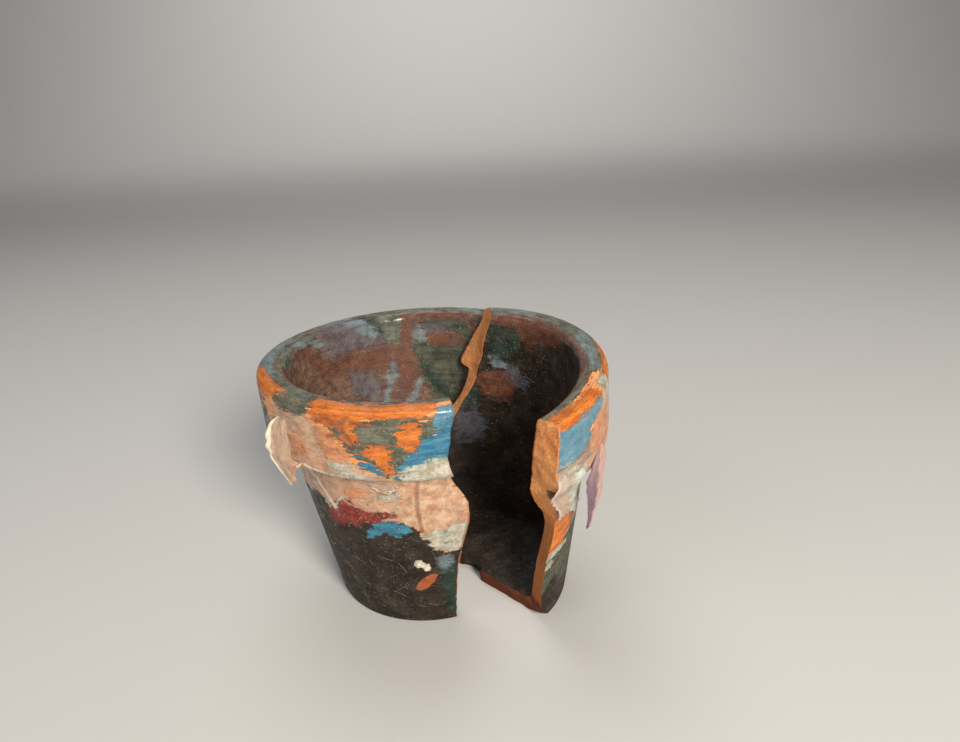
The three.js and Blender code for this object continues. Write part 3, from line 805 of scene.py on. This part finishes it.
# Each coat, lowest first: paint, streak, and where it differs from the usual coat
COATS = {
    "chalk": (colour(194, 145, 114), colour(212, 179, 148), {"Crumbled": 3.0, "Mottle": 0.5}),
    "brown": (colour(98, 69, 56), colour(124, 93, 76), {"Worn": 0.1, "Mottle": 0.8}),
    "slate": (colour(56, 62, 48), colour(84, 90, 74), {"Soft": 0.5, "Mottle": 0.7}),
    # This near black is partly painted shade where it covers the smaller shard's bore
    "dark": (colour(29, 18, 11), colour(50, 35, 22), {"Brushed": 3.0, "Worn": 0.12, "Mottle": 0.9}),
    "dusty": (colour(66, 48, 36), colour(88, 68, 52),
              {"Crumbled": 8.0, "Soft": 1.0, "Cover": 0.7, "Worn": 1.0}),
    "red": (colour(156, 40, 22), colour(112, 32, 22),
            {"Ragged": 6.0, "Crumbled": 3.0, "Brushed": 3.0, "Soft": 0.5, "Worn": 0.5}),
    "rust": (colour(216, 146, 98), colour(198, 122, 78), {"Brushed": 7.0, "Soft": 0.8, "Cover": 0.85}),
    "umber": (colour(126, 70, 44), colour(94, 54, 40), {"Brushed": 9.0, "Soft": 0.9, "Cover": 0.78}),
    "sage": (colour(78, 84, 68), colour(108, 112, 96), {"Brushed": 7.0, "Soft": 0.35, "Mottle": 0.7}),
    "green": (colour(23, 43, 35), colour(34, 60, 47), {"Soft": 0.5, "Cover": 0.9, "Mottle": 0.8}),
    "lavender": (colour(98, 95, 106), colour(85, 96, 108), {"Brushed": 9.0, "Soft": 1.3, "Cover": 0.62}),
    "steel": (colour(78, 130, 154), colour(98, 146, 164), {"Ragged": 3.0, "Brushed": 3.0, "Mottle": 0.35}),
    "teal": (colour(15, 102, 142), colour(66, 136, 156), {"Brushed": 7.0, "Worn": 0.3, "Mottle": 0.5}),
    "sky": (colour(96, 120, 130), colour(128, 146, 150), {"Brushed": 4.0, "Soft": 0.8, "Cover": 0.72}),
    "mint": (colour(166, 170, 152), colour(202, 196, 180), {"Crumbled": 3.5, "Brushed": 9.0, "Worn": 0.5}),
    "bare": (colour(226, 128, 36), colour(188, 96, 30), {"Brushed": 7.0, "Thickness": -0.2, "Mottle": 0.5}),
    "chip": (colour(170, 88, 40), colour(152, 74, 34),
             {"Ragged": 0.7, "Crumbled": 0.6, "Brushed": 0.0, "Thickness": -0.4, "Worn": 0.0, "Mottle": 0.3}),
    "fold": (colour(224, 200, 176), colour(232, 214, 192),
             {"Ragged": 1.2, "Crumbled": 1.6, "Brushed": 0.0, "Thickness": 1.4, "Worn": 0.2, "Mottle": 0.3}),
    "line": (colour(116, 72, 52), colour(92, 58, 44),
             {"Ragged": 0.4, "Crumbled": 0.3, "Brushed": 0.0, "Soft": 0.35, "Cover": 0.6, "Thickness": -0.5,
              "Worn": 0.0, "Mottle": 0.4}),
}

# Coats dabbed on in blotches rather than brushed in streaks
BLOTCHED = ("chalk", "mint", "rust")


def value_of(tree, name):
    return add(tree, "ShaderNodeAttribute", {"attribute_name": name}).outputs["Fac"]


def three_clouds(tree, vector, scale, detail, roughness):
    """Three unlike noise values at one place."""
    inputs = {"Vector": vector, "Scale": scale, "Detail": detail, "Roughness": roughness}
    mixed = add(tree, "ShaderNodeTexNoise", None, inputs).outputs["Color"]
    return list(add(tree, "ShaderNodeSeparateColor", None, {0: mixed}).outputs)[:3]


# How the brush strokes are drawn out along the wall, and how the scratches slant
STROKE_STRETCH = (0.1, 0.7, 1)
SCRATCH_STRETCH = (0.22, 2.6, 1)
SCRATCH_SLANT = 0.5

# Depth of the relief on painted clay, on a paint skin and on powder, in metres
CLAY_RELIEF = 0.0005
SKIN_RELIEF = 0.0004
POWDER_RELIEF = 0.0002


def lay_coats(tree, place, edges, grains, clay):
    """Lays every coat over those before it, on bare clay; gives the colour and the height that show."""
    strokes = three_clouds(tree, scaled(tree, place, STROKE_STRETCH), 1.0, 4, 0.62)
    shown = clay["Color"]
    height = math_node(tree, "MULTIPLY", clay["Height"], 0.35)
    for order, (name, (paint, streak, manner)) in enumerate(COATS.items()):
        turn = order % 3
        next_turn = (order + 1) % 3
        coat = use_group(tree, PAINT_COAT, {
            **USUAL_COAT,
            **manner,
            "Distance": value_of(tree, "paint_" + name),
            "Edge": edges[turn],
            "Grain": grains[next_turn],
            "Pits": grains[turn],
            "Strokes": strokes[turn],
            "Blotch": edges[2] if name in BLOTCHED else strokes[turn],
            "Mix": edges[next_turn],
            "Under Color": shown,
            "Under Height": height,
            "Paint": paint,
            "Streak": streak,
        })
        shown = coat["Color"]
        height = coat["Height"]
    return shown, height


def scratch_dust_and_glints(tree, place, solid_mm, clay, shown):
    """Slanting scratches down to the clay, then a film of pale dust and light specks that are partly dust and
    partly painted glints.
    """
    slant = add(tree, "ShaderNodeMapping", None, {
        "Vector": place, "Rotation": (0, 0, SCRATCH_SLANT), "Scale": SCRATCH_STRETCH}).outputs[0]
    scratch = step(tree, cloud(tree, slant, 1.0, 2, 0.5, 12), 0.69, 0.74)
    shown = blend(tree, math_node(tree, "MULTIPLY", scratch, 0.55), shown, clay["Color"])
    dust_and_glint_layers = use_group(tree, DUST_AND_GLINTS, {"Place": solid_mm})
    shown = blend(tree, math_node(tree, "MULTIPLY", dust_and_glint_layers["Film"], 0.05), shown, colour(190, 180, 160))
    # Near-white specks laid on top: partly dust and partly painted glints
    return blend(tree, math_node(tree, "MULTIPLY", dust_and_glint_layers["Specks And Glints"], 0.6), shown, colour(226, 222, 210))


def raw_clay(tree, clay, ragged_level):
    """Bare clay at a break, darker towards the bottom and darkest at the foot."""
    # Darker below about 46 to 28 mm up the break, darkest below about 16 to 9 mm
    darker_low = blend(tree, 0.6, clay["Color"], colour(148, 76, 26))
    raw = blend(tree, step(tree, ragged_level, 46.0, 28.0), clay["Color"], darker_low)
    return blend(tree, step(tree, ragged_level, 16.0, 9.0), raw, colour(100, 46, 24))


def make_painted_clay():
    """Fired clay under many worn coats of paint, raw at the breaks and still glossy near the rim."""
    finish, tree, shader = new_finish("painted_terracotta")
    solid_mm = place_in_mm(tree)
    place = add(tree, "ShaderNodeAttribute", {"attribute_name": "wall_place"}).outputs["Vector"]
    edges = three_clouds(tree, place, 0.36, 5, 0.6)
    grains = three_clouds(tree, place, 1.5, 3, 0.7)
    clay = use_group(tree, CLAY_GRAIN, {"Place": solid_mm})
    shown, height = lay_coats(tree, place, edges, grains, clay)
    shown = scratch_dust_and_glints(tree, place, solid_mm, clay, shown)

    edge = math_node(tree, "MULTIPLY_ADD", grains[0], 0.2, value_of(tree, "break_face"))
    broken = step(tree, edge, 0.98, 1.04)
    level = add(tree, "ShaderNodeSeparateXYZ", None, {0: solid_mm}).outputs["Z"]
    ragged_level = math_node(tree, "MULTIPLY_ADD", edges[1], 14.0, level)
    shown = blend(tree, broken, shown, raw_clay(tree, clay, ragged_level))
    tree.links.new(shown, shader.inputs["Base Color"])

    paint_rough = math_node(tree, "MULTIPLY_ADD", edges[2], 0.6, 0.34)
    tree.links.new(mix_value(tree, broken, paint_rough, 0.92), shader.inputs["Roughness"])
    shader.inputs["Specular IOR Level"].default_value = 0.35
    near_rim = step(tree, level, 20.0, 46.0)
    varnish = math_node(tree, "MULTIPLY", step(tree, edges[0], 0.40, 0.58), near_rim)
    shine = math_node(tree, "MULTIPLY", varnish, math_node(tree, "SUBTRACT", 0.6, broken))
    tree.links.new(math_node(tree, "MAXIMUM", shine, 0.0), shader.inputs["Coat Weight"])
    shader.inputs["Coat Roughness"].default_value = 0.16
    relief = mix_value(tree, broken, height, clay["Height"])
    add_relief(tree, shader, relief, 0.9, CLAY_RELIEF)
    return finish


def make_film(name, paint, streak, edge, far, top):
    """A skin of dried paint with a colour along its turned-out lip and others at its top and its far side;
    the cream skin's light lip and the mauve skin's pink far side are partly painted highlight.
    """
    finish, tree, shader = new_finish(name)
    place = add(tree, "ShaderNodeAttribute", {"attribute_name": "wall_place"}).outputs["Vector"]
    fibre = cloud(tree, scaled(tree, place, (1.2, 0.35, 1)), 1.0, 6, 0.68, 2)
    blotch = cloud(tree, place, 0.5, 4, 0.6, 6)
    shown = blend(tree, step(tree, fibre, 0.38, 0.62), paint, streak)
    across, down, _ = add(tree, "ShaderNodeSeparateXYZ", None, {0: place}).outputs
    near_top = step(tree, math_node(tree, "MULTIPLY_ADD", blotch, 8.0, down), 15.0, 4.0)
    shown = blend(tree, near_top, shown, top)
    # The far-side colour: on the mauve skin its pink is partly a painted highlight along the right edge
    far_side = step(tree, math_node(tree, "MULTIPLY_ADD", blotch, 6.0, across), 7.6, 10.4)
    shown = blend(tree, far_side, shown, far)
    soiled = math_node(tree, "MULTIPLY", step(tree, blotch, 0.55, 0.32), 0.5)
    shown = darken(tree, soiled, shown, (0.6, 0.5, 0.42, 1))
    # The lip colour: on the cream skin its near white is partly a painted highlight on the curled edge
    lip = math_node(tree, "MULTIPLY_ADD", fibre, 0.5, value_of(tree, "film_edge"))
    shown = blend(tree, step(tree, lip, 0.55, 0.75), shown, edge)
    tree.links.new(shown, shader.inputs["Base Color"])
    shader.inputs["Roughness"].default_value = 0.5
    add_relief(tree, shader, fibre, 0.8, SKIN_RELIEF)
    return finish


def make_powder(name, light, dark, roughness):
    """A dull finish with a powdery grain in two near shades."""
    finish, tree, shader = new_finish(name)
    grain = use_group(tree, POWDERY_GRAIN, {
        "Place": place_in_mm(tree), "Light Color": light, "Dark Color": dark})
    tree.links.new(grain["Color"], shader.inputs["Base Color"])
    shader.inputs["Roughness"].default_value = roughness
    add_relief(tree, shader, grain["Height"], 0.6, POWDER_RELIEF)
    return finish


PAINTED_CLAY = make_painted_clay()
# The cream skin's near-white lip colour is partly a painted highlight
CREAM_FILM = make_film(
    "cream_paint_skin", colour(194, 156, 130), colour(214, 186, 160), colour(246, 234, 208),
    colour(206, 164, 136), colour(206, 172, 146))
# The mauve skin's pink far-side colour is partly a painted highlight
MAUVE_FILM = make_film(
    "mauve_paint_skin", colour(106, 80, 100), colour(130, 102, 118), colour(120, 98, 116),
    colour(204, 160, 150), colour(168, 138, 134))
PALE_FILM = make_film(
    "pale_paint_skin", colour(184, 152, 132), colour(198, 176, 158), colour(204, 182, 166),
    colour(194, 202, 190), colour(178, 166, 150))
PLASTER = make_powder("dried_plaster", colour(218, 210, 193), colour(178, 167, 146), 0.85)
FLUFF = make_powder("pale_lint", colour(180, 170, 150), colour(144, 133, 114), 0.8)

for shard, node in ((main_shard, "main_shard"), (side_shard, "side_shard")):
    shard.data.materials.append(PAINTED_CLAY)
    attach(shard, "root")
    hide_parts(node)


# Peeling paint: its thickness, the share of its width that is its lip, and its size in the skin's pattern
SKIN_THICKNESS = 0.22
LIP_SHARE = 0.16
PATTERN_WIDTH = 10
PATTERN_LENGTH = 20


def make_peel(name, node, finish, matrix, across_steps, down_steps, place):
    """A film of paint: a grid laid out by place(across, down), then thickened."""
    bm = bmesh.new()
    bmesh.ops.create_grid(bm, x_segments=across_steps, y_segments=down_steps, size=0.5)
    spots = []
    for vert in bm.verts:
        across = vert.co.x + 0.5
        down = 0.5 - vert.co.y
        spots.append((across, down))
        vert.co = matrix @ (Vector(place(across, down)) * MM)
    mesh = bpy.data.meshes.new(name)
    bm.to_mesh(mesh)
    bm.free()
    mesh.shade_smooth()
    spots = np.array(spots)
    lip = 1 - np.clip(spots[:, 0] / LIP_SHARE, 0, 1)
    mesh.attributes.new("film_edge", "FLOAT", "POINT").data.foreach_set("value", lip)
    level = np.zeros(len(spots))
    layout = np.stack([spots[:, 0] * PATTERN_WIDTH, spots[:, 1] * PATTERN_LENGTH, level], axis=-1)
    mesh.attributes.new("wall_place", "FLOAT_VECTOR", "POINT").data.foreach_set("vector", layout.ravel())
    peel = bpy.data.objects.new(name, mesh)
    bpy.context.scene.collection.objects.link(peel)
    thick = peel.modifiers.new("skin", "SOLIDIFY")
    thick.thickness = SKIN_THICKNESS * MM
    thick.offset = 1
    mesh.materials.append(finish)
    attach(peel, "root")
    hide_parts(node)


def wavy(across, down, seed):
    return noise.noise(Vector((across * 3.1, down * 3.7, seed)))


def around(angle, radius, height):
    return (radius * math.cos(math.radians(angle)), radius * math.sin(math.radians(angle)), height)


@functools.lru_cache(maxsize=None)
def eased(rows, down, column):
    return float(smooth_table(rows, column, np.array([down]))[0])


# Each row of a flap, going down: share of its length, then angle and height of both edges and its radius
LEFT_FLAP = (
    (0, 222, 60.4, 229, 60.4, 39.9), (0.16, 217.6, 58, 230, 58.2, 40.0),
    (0.45, 213.8, 51.8, 231, 52.4, 40.0), (0.62, 212.8, 48.4, 230, 49.2, 40.1),
    (0.8, 217.2, 45.4, 226.6, 47, 39.7), (1, 221.4, 42.3, 225.2, 44.2, 39.2),
)
HANGING_FLAP = (
    (0, -29, 51.6, -25.8, 51.8, 40.2), (0.12, -37, 49.4, -26, 49.4, 39.7),
    (0.32, -39.4, 45, -25.4, 45, 39.1), (0.62, -38, 38.6, -26.4, 38.6, 38.3),
    (0.85, -35.8, 34, -30, 34, 37.3), (1, -34.6, 30.6, -32.8, 30.6, 36.5),
)
CORNER_FLAP = (
    (0, -51.5, 52.4, -40.6, 51.8, 39.9), (0.12, -53.6, 50.2, -39.6, 49.8, 39.6),
    (0.25, -55.2, 48.3, -38.4, 47.6, 38.2), (0.44, -52.4, 45, -36.6, 44, 36.1),
    (0.72, -47.2, 40, -34, 39, 34.5), (1, -44.4, 36, -31, 34.2, 33),
)

# How a flap is torn at its sides in degrees and at its foot in millimetres, and how unevenly its lip curls
SIDE_TEAR = 0.9
FOOT_TEAR = 0.9
LIP_UNEVENNESS = 0.9

# Shares of a flap: the width that curls, the length held at the top, where the held side starts and its width
CURLED_SHARE = 0.25
TOP_HELD = 0.16
SIDE_HELD_FROM = 0.3
SIDE_HELD_OVER = 0.4


def wall_radius(height):
    return collar_radius(height) if height > COLLAR_BOTTOM else body_radius(height)


def flap_place(rows, lip, ripple, seed, held_side):
    """Where a flap lies: between its two edges, its first edge turned out, its top and held side let in."""
    def place(across, down):
        first = eased(rows, down, 1) + SIDE_TEAR * wavy(0.3, down * 4, seed)
        last = eased(rows, down, 3) + SIDE_TEAR * wavy(0.8, down * 4, seed + 1)
        angle = between(first, last, across)
        height = between(eased(rows, down, 2), eased(rows, down, 4), across)
        height += FOOT_TEAR * down ** 3 * wavy(across * 3, 0.5, seed)
        turned_out = lip * (1 + LIP_UNEVENNESS * wavy(0.1, down * 2.4, seed + 5))
        curl = turned_out * max(0, 1 - across / CURLED_SHARE) ** 1.5 * math.sin(math.pi * min(1, down + 0.08))
        radius = eased(rows, down, 5) + curl + ripple * wavy(across * 1.8, down * 1.5, seed + 2)
        side_let_in = held_side * min(1, max(0, across - SIDE_HELD_FROM) / SIDE_HELD_OVER)
        let_in = max(side_let_in, max(0, TOP_HELD - down) / TOP_HELD)
        if height > COLLAR_BOTTOM + 1:
            radius = between(radius, wall_radius(height) - 2 * SKIN_THICKNESS, let_in)
        return around(angle, radius, height)
    return place


RIGHT_PLACE = SIDE_PLACE @ Matrix.Rotation(math.radians(-SHARD_TURN), 4, "Z")
make_peel(
    "peeling_flap", "left_paint_peel", CREAM_FILM, MAIN_PLACE, 36, 40,
    flap_place(LEFT_FLAP, 1.2, 0.3, 4, 1.0))
make_peel(
    "hanging_flap", "hanging_paint_peel", MAUVE_FILM, RIGHT_PLACE, 20, 44,
    flap_place(HANGING_FLAP, 0.3, 0.4, 9, 0.0))
make_peel(
    "corner_flap", "corner_paint_peel", PALE_FILM, RIGHT_PLACE, 24, 36,
    flap_place(CORNER_FLAP, 0.2, 0.5, 13, 0.0))


# Pale crumbs stuck to the larger shard: angle, height and radius of each, then shares of the radius
CRUMBS = ((268.4, 20.8, 1.0), (270.2, 20.2, 0.75), (272.2, 19.3, 0.92))
CRUMB_STANDOFF = 0.25
CRUMB_LUMPS = 0.28
CRUMB_GRAINS = 0.12

# Lint caught on both shards: count, place and turn, ranges of angle and height, wall, its side, longest
LINT_FIELDS = (
    (46, MAIN_PLACE, 0, (215, 283), (4, 30), body_radius, 1, 4.6),
    (16, MAIN_PLACE, 0, (222, 284), (36, 46), body_radius, 1, 4.0),
    (30, MAIN_PLACE, 0, (72, 180), (40, 63), bore_radius, -1, 4.0),
    (26, SIDE_PLACE, -SHARD_TURN, (30, 70), (34, 62), bore_radius, -1, 4.0),
    (24, SIDE_PLACE, -SHARD_TURN, (-47, -12), (8, 44), body_radius, 1, 4.0),
)
LINT_SEED = 11
LINT_LINKS = 8
LINT_BEND = 0.16
LINT_BOW = 0.5
LINT_LIFT = 0.06
LINT_LENGTHS = (0.3, 1.0)
LINT_RADII = (0.012, 0.026)


def new_piece(name, bm, finish):
    mesh = bpy.data.meshes.new(name)
    bmesh.ops.recalc_face_normals(bm, faces=bm.faces[:])
    bm.to_mesh(mesh)
    bm.free()
    mesh.shade_smooth()
    mesh.materials.append(finish)
    piece = bpy.data.objects.new(name, mesh)
    bpy.context.scene.collection.objects.link(piece)
    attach(piece, "root")


def make_crumb():
    """Lumpy balls, each partly sunk into the wall."""
    bm = bmesh.new()
    for angle, height, size in CRUMBS:
        middle = Vector(around(angle, body_radius(height) + CRUMB_STANDOFF * size, height))
        ball = bmesh.ops.create_icosphere(bm, subdivisions=4, radius=size)["verts"]
        for vert in ball:
            lumps = CRUMB_LUMPS * noise.noise(vert.co * 1.3 + middle)
            bulge = 1 + lumps + CRUMB_GRAINS * noise.noise(vert.co * 3.5)
            vert.co = MAIN_PLACE @ ((middle + vert.co * bulge) * MM)
    new_piece("pale_crumb", bm, PLASTER)


def fibre_path(draw, matrix, turn, angles, heights, wall, outward, longest):
    """A bent line of points along a wall, bowed a little off it."""
    angle = draw.uniform(*angles) + turn
    height = draw.uniform(*heights)
    heading = draw.uniform(0, math.pi)
    bend = draw.gauss(0, LINT_BEND)
    stride = draw.uniform(*LINT_LENGTHS) * longest / LINT_LINKS
    bow = draw.uniform(0.0, LINT_BOW)
    path = []
    for link in range(LINT_LINKS + 1):
        lift = outward * (LINT_LIFT + bow * math.sin(math.pi * link / LINT_LINKS))
        path.append(matrix @ (Vector(around(angle, wall(height) + lift, height)) * MM))
        heading += bend
        angle += math.degrees(stride * math.cos(heading) / wall(height))
        height += stride * math.sin(heading)
    return path


def make_lint():
    """Short thin fibres lying on the walls, each a ring drawn out along a bent path."""
    draw = random.Random(LINT_SEED)
    bm = bmesh.new()
    paths = []
    tips = []
    for count, *field in LINT_FIELDS:
        for _ in range(count):
            path = fibre_path(draw, *field)
            radius = draw.uniform(*LINT_RADII) * MM
            ring = bmesh.ops.create_circle(bm, cap_ends=True, segments=4, radius=radius)["verts"]
            aim = (path[1] - path[0]).to_track_quat("Z", "Y").to_matrix()
            for vert in ring:
                vert.co = path[0] + aim @ vert.co
            tips.append(ring[0].link_faces[0])
            paths.append(path)
    for link in range(LINT_LINKS):
        tips = bmesh.ops.extrude_discrete_faces(bm, faces=tips)["faces"]
        for tip, path in zip(tips, paths):
            for vert in tip.verts:
                vert.co += path[link + 1] - path[link]
    new_piece("caught_lint", bm, FLUFF)


make_crumb()
make_lint()


# Floor with a sweep, light and camera, in metres
FLOOR_REACH = 2.6
BACKDROP_HEIGHT = 2.5
BACKDROP_BEND = 1.1
BEND_STEPS = 24
PAPER_SHADE = (0.58, 0.57, 0.55, 1)
LAMP_SPREAD = math.radians(140)
POT_MIDDLE = (0, 0, 0.03)
BACKDROP_MIDDLE = (0, 2.6, 0.6)
ROOM_TINT = (0.9, 0.93, 1.0, 1)
ROOM_STRENGTH = 0.15


def make_floor():
    bm = bmesh.new()
    bmesh.ops.create_grid(bm, x_segments=1, y_segments=1, size=FLOOR_REACH)
    back = [edge for edge in bm.edges if all(vert.co.y > 0 for vert in edge.verts)]
    raised = bmesh.ops.extrude_edge_only(bm, edges=back)["geom"]
    top = [part for part in raised if isinstance(part, bmesh.types.BMVert)]
    bmesh.ops.translate(bm, verts=top, vec=(0, 0, BACKDROP_HEIGHT))
    bmesh.ops.bevel(
        bm, geom=back, offset=BACKDROP_BEND, segments=BEND_STEPS, profile=0.5, affect="EDGES", material=-1)
    mesh = bpy.data.meshes.new("floor")
    bm.to_mesh(mesh)
    bm.free()
    mesh.shade_smooth()
    floor = bpy.data.objects.new("floor", mesh)
    bpy.context.scene.collection.objects.link(floor)
    paper, _, shader = new_finish("pale_paper")
    shader.inputs["Base Color"].default_value = PAPER_SHADE
    shader.inputs["Roughness"].default_value = 0.9
    mesh.materials.append(paper)


def make_light(name, place, target, size, power, tint):
    lamp = bpy.data.lights.new(name, "AREA")
    lamp.shape = "DISK"
    lamp.size = size
    lamp.energy = power
    lamp.spread = LAMP_SPREAD
    lamp.color = tint
    holder = bpy.data.objects.new(name, lamp)
    holder.location = place
    holder.rotation_euler = (Vector(target) - Vector(place)).to_track_quat("-Z", "Y").to_euler()
    bpy.context.scene.collection.objects.link(holder)


make_floor()
make_light("key_light", (0.30, -0.68, 0.44), POT_MIDDLE, 0.26, 5.3, (1.0, 0.93, 0.83))
make_light("fill_light", (-0.7, -0.5, 0.6), POT_MIDDLE, 0.8, 1.1, (0.92, 0.96, 1.0))
make_light("top_light", (-0.1, 0.3, 0.9), POT_MIDDLE, 0.6, 1.6, (1.0, 0.99, 0.97))
make_light("backdrop_light", (0, 1.2, 1.6), BACKDROP_MIDDLE, 1.4, 16.0, (1.0, 0.98, 0.95))

world = bpy.data.worlds.new("soft_room")
world.use_nodes = True
world.node_tree.nodes["Background"].inputs["Color"].default_value = ROOM_TINT
world.node_tree.nodes["Background"].inputs["Strength"].default_value = ROOM_STRENGTH
bpy.context.scene.world = world

# The camera's place from the pot's axis in millimetres, its tilt and its roll, from the picture's perspective
CAMERA_PLACE = Vector((16.265, -182.178, 127.358)) * MM + POT_AXIS
CAMERA_DOWN = 0.3619
CAMERA_ROLL = -0.0499
CAMERA_LENS = 28.125
CAMERA_SENSOR = 36
CAMERA_NEAR = 0.005
forward = Vector((0, math.cos(CAMERA_DOWN), -math.sin(CAMERA_DOWN)))
level_up = Vector((0, math.sin(CAMERA_DOWN), math.cos(CAMERA_DOWN)))
side = math.cos(CAMERA_ROLL) * Vector((1, 0, 0)) + math.sin(CAMERA_ROLL) * level_up
up = -math.sin(CAMERA_ROLL) * Vector((1, 0, 0)) + math.cos(CAMERA_ROLL) * level_up
lens = bpy.data.cameras.new("camera")
lens.lens = CAMERA_LENS
lens.sensor_width = CAMERA_SENSOR
lens.clip_start = CAMERA_NEAR
lens.dof.use_dof = False
camera = bpy.data.objects.new("camera", lens)
camera.matrix_world = Matrix((side, up, -forward)).transposed().to_4x4()
camera.location = CAMERA_PLACE
bpy.context.scene.collection.objects.link(camera)
bpy.context.scene.camera = camera
bpy.context.scene.view_settings.view_transform = "Standard"

bpy.context.view_layer.update()
